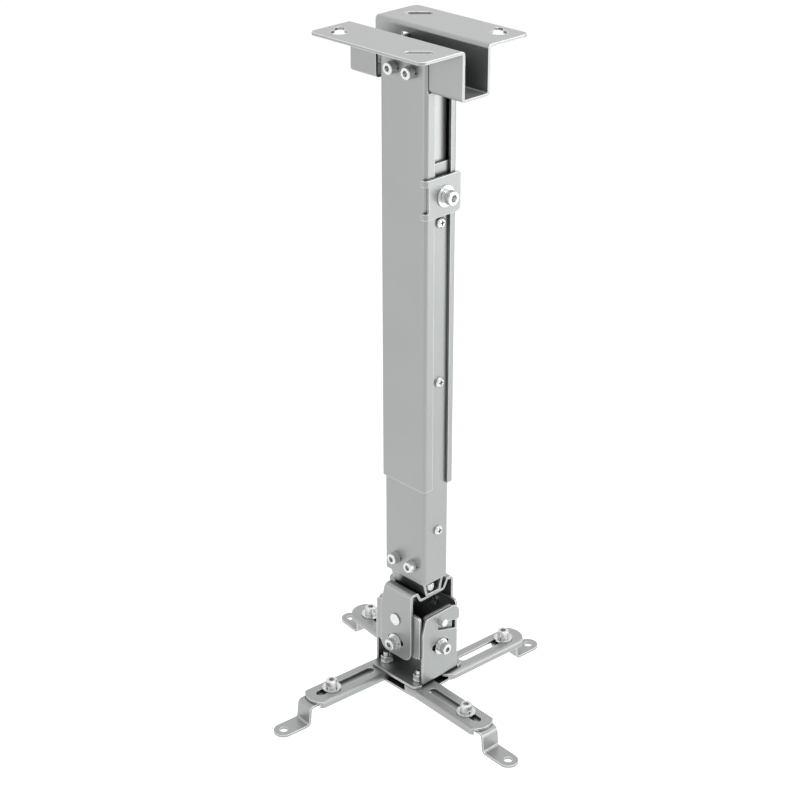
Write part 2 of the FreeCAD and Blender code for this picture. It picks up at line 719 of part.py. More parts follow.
def make_arm():
    """One spider arm along +X from its pivot at 0: a shallow channel, open below, with a long slot."""
    w = arm_half_width
    path = [(-w, -arm_flange), (-w, 0), (w, 0), (w, -arm_flange)]
    piece = folded_sheet("x", path, [arm_bend, arm_bend], sheet, -1, -w, arm_reach)
    straight = arm_reach - arm_end_sag
    chord = math.hypot(w, arm_end_sag)
    radius = chord * chord / (2 * arm_end_sag)
    middle = (arm_reach, 0)
    edges = [Part.Arc(Vector(0, w, -20), Vector(-w, 0, -20), Vector(0, -w, -20)).toShape(),
             Part.makeLine(Vector(0, -w, -20), Vector(straight, -w, -20)),
             Part.Arc(Vector(straight, -w, -20), Vector(*middle, -20), Vector(straight, w, -20)).toShape(),
             Part.makeLine(Vector(straight, w, -20), Vector(0, w, -20))]
    piece = piece.common(prism("z", edges, -20, 20))
    flange_end = rod("z", arm_reach - radius, 0, radius - 0.01, -20, -sheet - 0.01)
    blunt = block((straight - 3, arm_reach + 1), (-w - 1, w + 1), (-20, -arm_bend - 0.5)).cut(flange_end)
    piece = piece.cut(blunt)
    piece = piece.cut(rod("z", 0, 0, m5 + pin_clearance, -20, 20))
    start = arm_slot_start + arm_slot_radius
    end = arm_slot_end - arm_slot_radius
    return piece.cut(slot_cutter("z", (start, 0), (end, 0), arm_slot_radius, -20, 20))


def make_foot(is_long):
    """One foot strip along +X with its screw hole at 0: it steps down to a round pad with a hole."""
    step = long_foot_bend if is_long else short_foot_bend
    inner = long_foot_inner if is_long else short_foot_inner
    tip = step + foot_pad_reach
    half = foot_width / 2
    lean = 1.5
    path = [(-inner, -sheet), (step - sheet, -sheet), (step - sheet + lean, -foot_drop - sheet),
            (tip + half, -foot_drop - sheet)]
    strip = folded_sheet("y", path, [foot_bend - sheet / 2, foot_bend + sheet / 2], sheet, 1, -half, half)
    strip = strip.common(slot_cutter("z", (-inner + half, 0), (tip, 0), half, -foot_drop - 2 * sheet, 1))
    strip = strip.cut(rod("z", 0, 0, m5_hole, -sheet - 1, 1))
    if is_long:
        strip = strip.cut(rod("z", -long_foot_spare_hole, 0, m5_hole - 0.9, -sheet - 1, 1))
    return strip.cut(rod("z", tip, 0, foot_hole_radius, -foot_drop - sheet - 1, -foot_drop + 1))


def place_on_arm(piece, arm, along, z):
    """Put a piece made in an arm's own frame onto the spider."""
    corner = arm["corner"]
    angle = arm["heading"] + arm["turn"]
    turned = FreeCAD.Rotation(Vector(0, 0, 1), angle)
    shift = turned.multVec(Vector(along, 0, 0))
    placed = piece.copy()
    base = Vector(corner[0] * pivot_x + shift.x, corner[1] * pivot_y + shift.y, z)
    placed.Placement = FreeCAD.Placement(base, turned).multiply(piece.Placement)
    return placed


def make_arms_and_feet():
    """Four arms, each with its foot and the foot's fasteners."""
    nodes = {}
    seat = arm_top + running_gap / 2
    grip = seat - (foot_top - sheet)
    stack = washer + spring_washer
    for name, arm in ARMS.items():
        along = arm["screw_at"]
        nodes["arm_" + name] = place_on_arm(make_arm(), arm, 0, arm_top)
        nodes["foot_" + name] = place_on_arm(make_foot(arm["long"]), arm, along, foot_top)
        flat = ring(large_washer_radius, m5 + 2 * pin_clearance, washer)
        nodes["foot_washer_" + name] = place_on_arm(flat, arm, along, seat)
        nodes["foot_spring_washer_" + name] = place_on_arm(split_ring(), arm, along, seat + washer)
        screw = cap_screw(grip + stack + m5_nut + 1.0)
        nodes["foot_screw_" + name] = place_on_arm(screw, arm, along, seat + stack)
        nodes["foot_nut_" + name] = place_on_arm(nut(m5_nut_across, m5_nut, m5), arm, along,
                                                 foot_top - sheet - m5_nut)
    return nodes


def wall_screws(half_y, wall_stack, spread, z):
    """Cap screws, spring washers and nuts in two opposite walls, two to a wall."""
    screws, springs, nuts = [], [], []
    for side in (-1, 1):
        for place in (-1, 1):
            x = place * spread / 2
            springs.append(stand(split_ring(), (x, side * half_y, z), (0, side, 0)))
            seat = (x, side * (half_y + spring_washer), z)
            screws.append(stand(cap_screw(spring_washer + wall_stack + m5_nut + 1.0), seat, (0, side, 0)))
            inside = (x, side * (half_y - wall_stack), z)
            nuts.append(stand(nut(m5_nut_across, m5_nut, m5), inside, (0, -side, 0)))
    return group(screws), group(springs), group(nuts)


def make_nodes():
    """Every node by name."""
    nodes = {}
    nodes["ceiling_bracket"] = make_ceiling_bracket()
    nodes["outer_pole"] = make_outer_pole()
    nodes["guide_channel"] = make_guide_channel()
    stack = pole_half_y - channel_width / 2 + sheet
    names = ("top_screws", "top_spring_washers", "top_nuts")
    nodes.update(zip(names, wall_screws(pole_half_y, stack, top_screw_spread, top_screw_z)))
    floor = -channel_depth + sheet
    screw = pan_screw(sheet + thin_sheet + m4_nut + 0.8)
    nodes["guide_screws"] = group([stand(screw, (x, 0, floor), (0, 0, 1)) for x in guide_screw_x()])
    under = -channel_depth - thin_sheet
    small_nut = nut(m4_nut_across, m4_nut, m4)
    nodes["guide_nuts"] = group([stand(small_nut, (x, 0, under), (0, 0, -1)) for x in guide_screw_x()])

    nodes["inner_pole"] = make_inner_pole()
    nodes["slide_nut"] = make_slide_nut()
    nodes["clamp_plate"] = make_clamp_plate()
    face = pole_half_x + running_gap + sheet
    flat = ring(large_washer_radius, m5 + 2 * pin_clearance, washer)
    nodes["clamp_washer"] = stand(flat, (face, slot_y, clamp_z), (1, 0, 0))
    nodes["clamp_spring_washer"] = stand(split_ring(), (face + washer, slot_y, clamp_z), (1, 0, 0))
    seat = face + washer + spring_washer
    clamp = cap_screw(seat - (inner_half_x - sheet) - 0.1)
    nodes["clamp_screw"] = stand(clamp, (seat, slot_y, clamp_z), (1, 0, 0))
    web_screw = pan_screw(sheet - 0.1)
    nodes["web_screws"] = group([stand(web_screw, (inner_half_x, slot_y, z), (1, 0, 0)) for z in web_screw_z()])
    nodes["hanger"] = make_hanger()
    stack = inner_half_y - hanger_half_y + sheet
    names = ("hanger_screws", "hanger_spring_washers", "hanger_nuts")
    height = inner_bottom + hanger_screw_rise
    nodes.update(zip(names, wall_screws(inner_half_y, stack, hanger_screw_spread, height)))
    head = hexagon(swivel_head_across, 0, swivel_head).common(
        chamfered_rod(swivel_head_across / math.sqrt(3) - 0.1, 0, swivel_head, 0.8))
    under_web = yoke_web_z - sheet - swivel_gap
    shank_end = under_web - swivel_washer - swivel_nut - 1.5
    shank = rod("z", 0, 0, swivel_shank_radius, shank_end - hanger_web_z - sheet, 0)
    nodes["swivel_bolt"] = stand(head.fuse(shank).removeSplitter(), (0, 0, hanger_web_z + sheet), (0, 0, 1))
    disc = ring(swivel_washer_radius, swivel_shank_radius + pin_clearance, swivel_washer)
    nodes["swivel_washer"] = stand(disc, (0, 0, under_web), (0, 0, -1))
    big_nut = nut(swivel_head_across, swivel_nut, swivel_shank_radius)
    nodes["swivel_nut"] = stand(big_nut, (0, 0, under_web - swivel_washer), (0, 0, -1))

    nodes["yoke"] = make_yoke()
    nodes["cross_bracket"] = make_cross_bracket()
    nodes["tilt_pins"] = make_tilt_pins()
    nodes["roll_pins"] = make_roll_pins()
    names = ("joint_screws", "joint_spring_washers", "joint_washers", "joint_nuts")
    nodes.update(zip(names, joint_hardware()))
    nodes["base_bracket"] = make_base_bracket()
    nodes["lower_plate"] = make_lower_plate()
    nodes.update(zip(("pivot_screws", "pivot_washers", "pivot_nuts"), pivot_hardware()))
    nodes.update(make_arms_and_feet())
    return nodes


def main():
    os.makedirs("parts", exist_ok=True)
    for name, shape in make_nodes().items():
        shape.exportStep("parts/" + name + ".step")


main()
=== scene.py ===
"""Finishes, threads, knurls, studio and camera for a telescopic projector ceiling mount."""
import json
import math

import bmesh
import bpy
from bpy.props import FloatProperty, FloatVectorProperty, IntProperty, PointerProperty
from mathutils import Euler, Matrix, Vector


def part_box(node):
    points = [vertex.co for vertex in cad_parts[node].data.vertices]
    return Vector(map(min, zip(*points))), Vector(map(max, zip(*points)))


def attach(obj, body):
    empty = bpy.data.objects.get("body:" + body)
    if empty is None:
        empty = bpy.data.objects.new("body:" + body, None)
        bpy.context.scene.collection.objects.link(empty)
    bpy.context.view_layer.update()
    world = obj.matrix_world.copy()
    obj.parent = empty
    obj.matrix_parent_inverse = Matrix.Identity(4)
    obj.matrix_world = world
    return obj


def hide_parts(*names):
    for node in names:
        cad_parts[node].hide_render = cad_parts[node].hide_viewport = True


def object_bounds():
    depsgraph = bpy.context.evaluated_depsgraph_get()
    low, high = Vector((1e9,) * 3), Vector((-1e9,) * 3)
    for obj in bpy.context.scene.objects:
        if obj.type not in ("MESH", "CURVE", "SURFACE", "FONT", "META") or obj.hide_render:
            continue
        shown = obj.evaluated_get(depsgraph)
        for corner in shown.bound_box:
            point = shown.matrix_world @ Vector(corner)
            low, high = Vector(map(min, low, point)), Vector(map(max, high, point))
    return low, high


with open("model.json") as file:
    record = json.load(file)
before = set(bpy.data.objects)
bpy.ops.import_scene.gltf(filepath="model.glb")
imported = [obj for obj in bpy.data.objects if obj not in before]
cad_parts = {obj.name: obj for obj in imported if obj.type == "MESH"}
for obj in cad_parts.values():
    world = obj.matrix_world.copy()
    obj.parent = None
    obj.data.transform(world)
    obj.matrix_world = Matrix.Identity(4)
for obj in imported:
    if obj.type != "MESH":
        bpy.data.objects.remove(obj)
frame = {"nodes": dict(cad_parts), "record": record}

bl_info = {
    "name": "Projector Ceiling Mount Looks",
    "version": (1, 0, 0),
    "blender": (4, 5, 0),
    "location": "View3D > Sidebar > Mount",
    "description": "Gives a projector ceiling mount its paint, zinc, threads, knurls and studio",
    "category": "Object",
}

MM = 0.001
MICRONS_PER_METRE = 1e6
UP = Vector((0, 0, 1))
DOWN = Vector((0, 0, -1))
RIGHT = Vector((1, 0, 0))
NODES = frame["nodes"]
NODE_BODY = {node: body for body, nodes in frame["record"]["behaviour"]["bodies"].items()
             for node in nodes}
ARM_NAMES = ("front_left", "front_right", "rear_right", "rear_left")
CAD_BOX = [list(corner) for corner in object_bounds()]

# Sheet, washers and screws: a coil is its spring washer's radius as a share of the head's
SHEET = 2.0 * MM
WASHER = 1.2 * MM
SPRING_WASHER = 1.3 * MM
M5_RADIUS = 2.5 * MM
M5_HEAD_RADIUS = 4.25 * MM
M5_HEAD_HEIGHT = 5.0 * MM
M5_SOCKET = 4.0 * MM
M6_RADIUS = 3.0 * MM
M6_HEAD_HEIGHT = 6.0 * MM
M6_SOCKET = 5.0 * MM
LOOSE_BORE, SNUG_SHANK = 1.05, 0.98
LOCK_COIL, CLAMP_COIL = 0.96, 1.02
KNURL_LIFT = 0.8 * MM
TURN_STEPS = 48
RIDGE_SIDES = 6

# Finishes: noise scales are per metre, and a pair is the start and the end of a change
EDGE_COSINE = (0.994, 0.92)
CLOUD_SPAN = (0.3, 0.7)
PAINT_CLOUD, PAINT_RIPPLE = 22.0, 620.0
FLAKE_TONES = ((0.15, 0.965), (0.85, 1.035))
CLOUD_TINT = (0.96, 0.96, 0.97)
ZINC_STAIN, ZINC_MARKS = 260.0, 2400.0
STAIN_TONES = ((0.3, 0.88), (0.7, 1.06))
MARK_HEIGHT = 0.01 * MM
PAINT_RELIEF, ZINC_RELIEF = 0.35, 0.25
PAINT_SWING, ZINC_SWING = (-0.04, 0.04), (-0.07, 0.09)
ZINC_SHADE_REACH, ZINC_SHADE_DEPTH = 3.0 * MM, 0.5
CREVICE_SPAN = (0.25, 0.68)
WHITE = (1.0, 1.0, 1.0)

# Studio: each lamp's name, place and size, with its power in the setting of the same name
LAMPS = (("front", (-0.7, -1.7, -0.05), 1.5), ("side", (1.5, 1.2, -0.1), 1.5), ("top", (0.3, 0.1, 0.85), 0.9))
LAMP_AIM = (0, 0, -0.26)
FLOOR_CLOUD = 1.5
FLOOR_TONES = ((0.3, 0.84), (0.7, 0.86))

# The photograph's camera, fitted to its edges: pixels of its square frame, degrees and metres
FRAME_PX = 800.0
FOCAL_PX = 1881.2
CENTRE_PX = (394.0, 350.0)
HEADING, PITCH, ROLL = 45.80, 24.87, 0.13
CAMERA_PLACE = (0.8531, -0.8513, 0.3293)
SENSOR_WIDTH = 36.0
CLIP_END = 100.0


# Settings

class PaintSettings(bpy.types.PropertyGroup):
    """The silver paint on the folded sheet."""
    colour: FloatVectorProperty(name="Paint colour", description="Base colour of the silver paint",
                                subtype="COLOR", size=3, min=0, max=1, default=(0.405, 0.422, 0.414))
    roughness: FloatProperty(name="Paint roughness", description="How matt the paint is",
                             min=0, max=1, default=0.34)
    metal: FloatProperty(name="Metal share", description="How far the paint reflects as metal does",
                         min=0, max=1, default=0.70)
    # The edge colour is a painted highlight: the light that catches the cut edges of the sheet.
    edge_highlight_colour: FloatVectorProperty(name="Edge colour",
                                     description="Colour of the bright line along sheet edges",
                                     subtype="COLOR", size=3, min=0, max=1, default=(0.82, 0.84, 0.83))
    flake: FloatProperty(name="Flake size", description="Size of the bright grains in the paint",
                         unit="LENGTH", min=0.0001, max=0.01, default=0.0004)
    peel: FloatProperty(name="Ripple height", description="Height of the fine ripple in the paint",
                        unit="LENGTH", min=0, max=0.001, default=0.000006)
    edge: FloatProperty(name="Edge round", description="Radius of the softened sheet edges",
                        unit="LENGTH", min=0, max=0.002, default=0.00045)
    # The bright rim is the width of that painted highlight along the edges.
    rim: FloatProperty(name="Bright rim", description="Width of the bright line along a sheet's edges",
                       unit="LENGTH", min=0, max=0.003, default=0.0009)
    shade_reach: FloatProperty(name="Shade reach",
                               description="How near another sheet has to be to darken the paint",
                               unit="LENGTH", min=0.001, max=0.1, default=0.030)
    shade_depth: FloatProperty(name="Shade depth", description="Tone left where the paint is walled in",
                               min=0, max=1, default=0.22)


class ZincSettings(bpy.types.PropertyGroup):
    """The bright plating on the fasteners."""
    colour: FloatVectorProperty(name="Zinc colour", description="Base colour of the plating",
                                subtype="COLOR", size=3, min=0, max=1, default=(0.72, 0.73, 0.73))
    roughness: FloatProperty(name="Zinc roughness", description="How dull the plating is",
                             min=0, max=1, default=0.24)
    # The rim colour is a painted highlight along the fastener edges.
    rim_highlight_colour: FloatVectorProperty(name="Rim colour",
                                    description="Colour of the bright line along fastener edges",
                                    subtype="COLOR", size=3, min=0, max=1, default=(0.88, 0.89, 0.89))
    edge: FloatProperty(name="Edge round", description="Radius of the softened fastener edges",
                        unit="LENGTH", min=0, max=0.002, default=0.0002)


class ScrewSettings(bpy.types.PropertyGroup):
    """The swivel's lock screw on the hanger and the large clamp screw on the pole."""
    lock_reach: FloatProperty(name="Lock screw place",
                              description="Distance of the lock screw from the pole's axis",
                              unit="LENGTH", min=0.008, max=0.015, default=0.0116)
    lock_head: FloatProperty(name="Lock head radius", description="Radius of the lock screw's head",
                             unit="LENGTH", min=0.002, max=0.006, default=0.00425)
    clamp_head: FloatProperty(name="Clamp head radius", description="Radius of the clamp screw's head",
                              unit="LENGTH", min=0.003, max=0.008, default=0.005)
    clamp_disc: FloatProperty(name="Clamp washer radius",
                              description="Radius of the flat washer on the clamp plate",
                              unit="LENGTH", min=0.004, max=0.012, default=0.0077)


class ThreadSettings(bpy.types.PropertyGroup):
    """The thread that shows on the ends of the screws."""
    pitch: FloatProperty(name="Pitch", description="Distance from one turn of the thread to the next",
                         unit="LENGTH", min=0.0002, max=0.003, default=0.0008)
    crest: FloatProperty(name="Crest height", description="How far the thread's crest stands off the shank",
                         unit="LENGTH", min=0.00002, max=0.001, default=0.00016)
    steps: IntProperty(name="Steps a turn", description="Segments in one turn of the thread",
                       min=8, max=64, default=28)


class KnurlSettings(bpy.types.PropertyGroup):
    """The fine ribs round the socket heads."""
    count: IntProperty(name="Ribs", description="Ribs round one screw head", min=12, max=96, default=40)
    height: FloatProperty(name="Rib height", description="How far a rib stands off the head",
                          unit="LENGTH", min=0.00002, max=0.001, default=0.00014)
    length: FloatProperty(name="Rib length", description="Length of a rib along the head",
                          unit="LENGTH", min=0.0005, max=0.01, default=0.0036)


class StudioSettings(bpy.types.PropertyGroup):
    """Floor, lamps and sky."""
    floor_drop: FloatProperty(name="Floor drop", description="Distance from the feet down to the floor",
                              unit="LENGTH", min=0, max=3, default=0.30)
    floor_size: FloatProperty(name="Floor size", description="Edge length of the floor",
                              unit="LENGTH", min=1, max=60, default=24.0)
    front: FloatProperty(name="Front lamp", description="Power of the large lamp at the front, in watts",
                         min=0, max=500, default=4.0)
    side: FloatProperty(name="Side lamp", description="Power of the large lamp at the right, in watts",
                        min=0, max=500, default=11.0)
    top: FloatProperty(name="Top lamp", description="Power of the large lamp overhead, in watts",
                       min=0, max=500, default=9.0)
    sky: FloatProperty(name="Sky level", description="Strength of the even light from all round",
                       min=0, max=5, default=0.30)
    paper: FloatProperty(name="Paper glow", description="How far the floor is lifted to white for the viewer",
                         min=0, max=2, default=0.75)


# Material building

def shader_tree(name):
    """A new material, its node tree and the output, which is the only node in it."""
    material = bpy.data.materials.new(name)
    material.use_nodes = True
    tree = material.node_tree
    tree.nodes.clear()
    output = tree.nodes.new("ShaderNodeOutputMaterial")
    return material, tree, output


def add_node(tree, kind, inputs=None, **settings):
    """A node with its settings and unlinked inputs set; an input that is a socket is linked."""
    node = tree.nodes.new(kind)
    for key, value in settings.items():
        setattr(node, key, value)
    for key, value in (inputs or {}).items():
        if isinstance(value, bpy.types.NodeSocket):
            tree.links.new(value, node.inputs[key])
        else:
            node.inputs[key].default_value = value
    return node


def tint_ramp(tree, factor, stops):
    """A colour ramp with the given stops."""
    ramp = add_node(tree, "ShaderNodeValToRGB", {"Fac": factor})
    elements = ramp.color_ramp.elements
    while len(elements) > len(stops):
        elements.remove(elements[-1])
    while len(elements) < len(stops):
        elements.new(1.0)
    for element, (place, colour) in zip(elements, stops):
        element.position = place
        element.color = (*colour, 1.0)
    return ramp.outputs["Color"]


def shade(colour, share):
    """A colour scaled by a share and kept within 0 to 1."""
    return tuple(max(0.0, min(1.0, c * share)) for c in colour)


def share_ramp(tree, factor, colour, tones):
    """A ramp through shares of one colour."""
    return tint_ramp(tree, factor, [(place, shade(colour, share)) for place, share in tones])


def object_place(tree):
    """The place on the piece in its own coordinates, so that no pattern slides."""
    return add_node(tree, "ShaderNodeTexCoord").outputs["Object"]


def noise(tree, scale, detail=2.0):
    """Soft noise on the piece's own coordinates."""
    return add_node(tree, "ShaderNodeTexNoise", {"Vector": object_place(tree), "Scale": scale,
                                                 "Detail": detail}).outputs["Fac"]


def carry(tree, value, source, target):
    """A value carried from one span to another."""
    return add_node(tree, "ShaderNodeMapRange", {
        "Value": value, "From Min": source[0], "From Max": source[1],
        "To Min": target[0], "To Max": target[1]}).outputs["Result"]


def rounded_normal(tree, radius, samples):
    """A normal that turns softly over edges."""
    return add_node(tree, "ShaderNodeBevel", {"Radius": radius}, samples=samples).outputs["Normal"]


def relief(tree, height, strength, distance, normal):
    """A normal with fine bumps laid over it."""
    return add_node(tree, "ShaderNodeBump", {"Strength": strength, "Distance": distance, "Height": height,
                                             "Normal": normal}).outputs["Normal"]


def edge_mask(tree, rounded):
    """1 along a sharp edge and 0 on a face, from how far the rounded normal leaves the face's own."""
    flat = add_node(tree, "ShaderNodeNewGeometry").outputs["True Normal"]
    facing = add_node(tree, "ShaderNodeVectorMath", {0: rounded, 1: flat}, operation="DOT_PRODUCT")
    return carry(tree, facing.outputs["Value"], EDGE_COSINE, (0.0, 1.0))


def blend(tree, factor, under, over, blend_type="MIX"):
    """Two colours mixed; each is a socket or a plain colour."""
    node = add_node(tree, "ShaderNodeMix", data_type="RGBA", blend_type=blend_type)
    for key, value in (("Factor", factor), (6, under), (7, over)):
        if isinstance(value, bpy.types.NodeSocket):
            tree.links.new(value, node.inputs[key])
        else:
            node.inputs[key].default_value = value if key == "Factor" else (*value, 1.0)
    return node.outputs[2]


def crevice_shade(tree, reach, depth):
    """A grey that darkens where other surfaces close in, as between the nested sheets."""
    open_share = add_node(tree, "ShaderNodeAmbientOcclusion", {"Distance": reach}, samples=8).outputs["AO"]
    return share_ramp(tree, open_share, WHITE, ((CREVICE_SPAN[0], depth), (CREVICE_SPAN[1], 1.0)))


def surface(tree, output, inputs):
    """Close a material with a principled shader."""
    shader = add_node(tree, "ShaderNodeBsdfPrincipled", inputs)
    tree.links.new(shader.outputs["BSDF"], output.inputs["Surface"])


def silver_paint(settings, name="silver_paint", share=1.0, depth=None):
    """Satin silver paint: faint flake and cloud in its colour, a fine ripple, soft edges with a painted
    highlight along them, and painted shade where other surfaces close in.
    """
    material, tree, output = shader_tree(name)
    depth = settings.shade_depth if depth is None else depth
    flake = add_node(tree, "ShaderNodeTexVoronoi", {"Vector": object_place(tree),
                                                    "Scale": 1 / settings.flake})
    cloud = noise(tree, PAINT_CLOUD, detail=3.0)
    grain = share_ramp(tree, flake.outputs["Color"], shade(settings.colour, share), FLAKE_TONES)
    drift = tint_ramp(tree, cloud, [(CLOUD_SPAN[0], CLOUD_TINT), (CLOUD_SPAN[1], WHITE)])
    mixed = blend(tree, 1.0, grain, drift, "MULTIPLY")
    wide = rounded_normal(tree, settings.rim, samples=8)
    # Painted highlight: the edge colour laid over the paint along sharp edges, where light would catch them.
    edge_lit = blend(tree, edge_mask(tree, wide), mixed, settings.edge_highlight_colour)
    finished = blend(tree, 1.0, edge_lit, crevice_shade(tree, settings.shade_reach, depth), "MULTIPLY")
    soft = rounded_normal(tree, settings.edge, samples=8)
    surface(tree, output, {
        "Base Color": finished, "Metallic": settings.metal, "Coat Weight": 0.15, "Coat Roughness": 0.22,
        "Roughness": carry(tree, cloud, CLOUD_SPAN, [settings.roughness + swing for swing in PAINT_SWING]),
        "Normal": relief(tree, noise(tree, PAINT_RIPPLE), PAINT_RELIEF, settings.peel, soft)})
    return material


def bright_zinc(settings, name="bright_zinc", share=1.0, roughness=None):
    """Bright plating: a slightly uneven metal with fine turning marks, a painted highlight along its rims and
    painted shade in its hollows.
    """
    material, tree, output = shader_tree(name)
    dullness = settings.roughness if roughness is None else roughness
    stain = noise(tree, ZINC_STAIN, detail=3.0)
    tone = share_ramp(tree, stain, shade(settings.colour, share), STAIN_TONES)
    soft = rounded_normal(tree, settings.edge, samples=6)
    # Painted highlight: the rim colour laid over the plating along sharp edges.
    edge_lit = blend(tree, edge_mask(tree, soft), tone, shade(settings.rim_highlight_colour, share))
    crevice = crevice_shade(tree, ZINC_SHADE_REACH, ZINC_SHADE_DEPTH)
    surface(tree, output, {
        "Base Color": blend(tree, 1.0, edge_lit, crevice, "MULTIPLY"), "Metallic": 1.0,
        "Roughness": carry(tree, stain, CLOUD_SPAN, [dullness + swing for swing in ZINC_SWING]),
        "Normal": relief(tree, noise(tree, ZINC_MARKS, detail=1.0), ZINC_RELIEF, MARK_HEIGHT, soft)})
    return material


def dress(names, material):
    """Give CAD nodes a material in their own slots."""
    for name in names:
        for slot in NODES[name].material_slots:
            slot.material = material


def sheet_nodes():
    """The folded and flat sheet pieces, which are painted."""
    fixed = ["ceiling_bracket", "outer_pole", "guide_channel", "inner_pole", "clamp_plate", "hanger",
             "yoke", "cross_bracket", "base_bracket", "lower_plate"]
    return fixed + [kind + name for kind in ("arm_", "foot_") for name in ARM_NAMES]


# Geometry Nodes for what repeats on the fasteners

def repeat_tree(name, lengths, count):
    """An empty geometry tree with a geometry input and output, and named lengths and a count as inputs."""
    tree = bpy.data.node_groups.new(name, "GeometryNodeTree")
    kinds = {"Geometry": "NodeSocketGeometry", **dict.fromkeys(lengths, "NodeSocketFloat"),
             count: "NodeSocketInt"}
    for label, kind in kinds.items():
        tree.interface.new_socket(label, in_out="INPUT", socket_type=kind)
    tree.interface.new_socket("Geometry", in_out="OUTPUT", socket_type="NodeSocketGeometry")
    return tree, tree.nodes.new("NodeGroupInput").outputs, tree.nodes.new("NodeGroupOutput")


def calc(tree, operation, a, b=None):
    """A math node's result."""
    inputs = {0: a} if b is None else {0: a, 1: b}
    return add_node(tree, "ShaderNodeMath", inputs, operation=operation).outputs[0]


def stand_on_seats(tree, seats, shape, material, output):
    """Stand one copy of a shape on each seat, facing the seat's direction, and finish the tree."""
    facing = add_node(tree, "GeometryNodeInputNamedAttribute", {"Name": "facing"}, data_type="FLOAT_VECTOR")
    turned = add_node(tree, "FunctionNodeAlignRotationToVector", {"Vector": facing.outputs["Attribute"]},
                      axis="Z")
    copies = add_node(tree, "GeometryNodeInstanceOnPoints",
                      {"Points": seats, "Instance": shape, "Rotation": turned.outputs["Rotation"]})
    real = add_node(tree, "GeometryNodeRealizeInstances", {"Geometry": copies.outputs["Instances"]})
    finish = add_node(tree, "GeometryNodeSetMaterial", {"Geometry": real.outputs["Geometry"],
                                                        "Material": material})
    tree.links.new(finish.outputs["Geometry"], output.inputs["Geometry"])


def thread_tree(material):
    """A thread ridge that winds up each screw end, from its seat along its facing."""
    tree, given, output = repeat_tree("screw_thread", ("Shank Radius", "Pitch", "Crest", "Length"), "Steps")
    turns = calc(tree, "DIVIDE", given["Length"], given["Pitch"])
    spiral = add_node(tree, "GeometryNodeCurveSpiral", {
        "Resolution": given["Steps"], "Rotations": turns, "Start Radius": given["Shank Radius"],
        "End Radius": given["Shank Radius"], "Height": given["Length"]})
    ridge = add_node(tree, "GeometryNodeCurvePrimitiveCircle", {"Resolution": RIDGE_SIDES,
                                                                "Radius": given["Crest"]})
    wound = add_node(tree, "GeometryNodeCurveToMesh", {
        "Curve": spiral.outputs["Curve"], "Profile Curve": ridge.outputs["Curve"], "Fill Caps": True})
    stand_on_seats(tree, given["Geometry"], wound.outputs["Mesh"], material, output)
    return tree


def knurl_tree(material):
    """A ring of fine ribs round each screw head, lengthwise along its facing."""
    lengths = ("Head Radius", "Rib Height", "Rib Length", "Lift")
    tree, given, output = repeat_tree("head_knurl", lengths, "Ribs")
    circle = add_node(tree, "GeometryNodeCurvePrimitiveCircle", {"Resolution": given["Ribs"],
                                                                 "Radius": given["Head Radius"]})
    rib = add_node(tree, "GeometryNodeMeshCylinder", {
        "Vertices": RIDGE_SIDES, "Radius": given["Rib Height"], "Depth": given["Rib Length"]})
    ring = add_node(tree, "GeometryNodeInstanceOnPoints", {"Points": circle.outputs["Curve"],
                                                           "Instance": rib.outputs["Mesh"]})
    middle = calc(tree, "ADD", given["Lift"], calc(tree, "MULTIPLY", given["Rib Length"], 0.5))
    lift = add_node(tree, "ShaderNodeCombineXYZ", {"Z": middle})
    band = add_node(tree, "GeometryNodeTransform", {"Geometry": ring.outputs["Instances"],
                                                    "Translation": lift.outputs["Vector"]})
    stand_on_seats(tree, given["Geometry"], band.outputs["Geometry"], material, output)
    return tree


def seat_mesh(name, seats):
    """A mesh of loose points, each with the direction it faces."""
    mesh = bpy.data.meshes.new(name)
    mesh.from_pydata([tuple(point) for point, _ in seats], [], [])
    facing = mesh.attributes.new("facing", "FLOAT_VECTOR", "POINT")
    for item, (_, direction) in zip(facing.data, seats):
        item.vector = tuple(direction)
    return mesh


def bake_repeat(name, tree, seats, values, body):
    """Run a tree on its seats, keep the result as a plain mesh, and let it ride on its body."""
    source = bpy.data.objects.new(name + "_seats", seat_mesh(name + "_seats", seats))
    bpy.context.scene.collection.objects.link(source)
    modifier = source.modifiers.new("repeat", "NODES")
    modifier.node_group = tree
    for item in tree.interface.items_tree:
        if item.in_out == "INPUT" and item.name in values:
            modifier[item.identifier] = values[item.name]
    bpy.context.view_layer.update()
    evaluated = source.evaluated_get(bpy.context.evaluated_depsgraph_get())
    mesh = bpy.data.meshes.new_from_object(evaluated)
    mesh.name = name
    source.modifiers.remove(modifier)
    bpy.data.objects.remove(source)
    piece = bpy.data.objects.new(name, mesh)
    bpy.context.scene.collection.objects.link(piece)
    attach(piece, body)


# Places read from the source's solids

def islands(node):
    """The box of each separate solid in a node, found by joining the triangles that share corners."""
    mesh = NODES[node].data
    keys = [tuple(round(c * MICRONS_PER_METRE) for c in v.co) for v in mesh.vertices]
    parent = {key: key for key in keys}

    def root(key):
        while parent[key] != key:
            parent[key] = parent[parent[key]]
            key = parent[key]
        return key

    for face in mesh.polygons:
        corners = [keys[i] for i in face.vertices]
        for other in corners[1:]:
            parent[root(other)] = root(corners[0])
    groups = {}
    for vertex, key in zip(mesh.vertices, keys):
        groups.setdefault(root(key), []).append(vertex.co)
    boxes = []
    for points in groups.values():
        low = Vector(min(p[k] for p in points) for k in range(3))
        high = Vector(max(p[k] for p in points) for k in range(3))
        boxes.append((low, high))
    return sorted(boxes, key=lambda pair: tuple(pair[0]))


def axis_of(direction):
    """The index of the axis that a direction lies along."""
    return max(range(3), key=lambda k: abs(direction[k]))


def outward(box, axis):
    """A unit direction along an axis, away from the mount's middle line."""
    middle = (box[0] + box[1]) / 2
    direction = Vector((0, 0, 0))
    direction[axis] = math.copysign(1.0, middle[axis])
    return direction


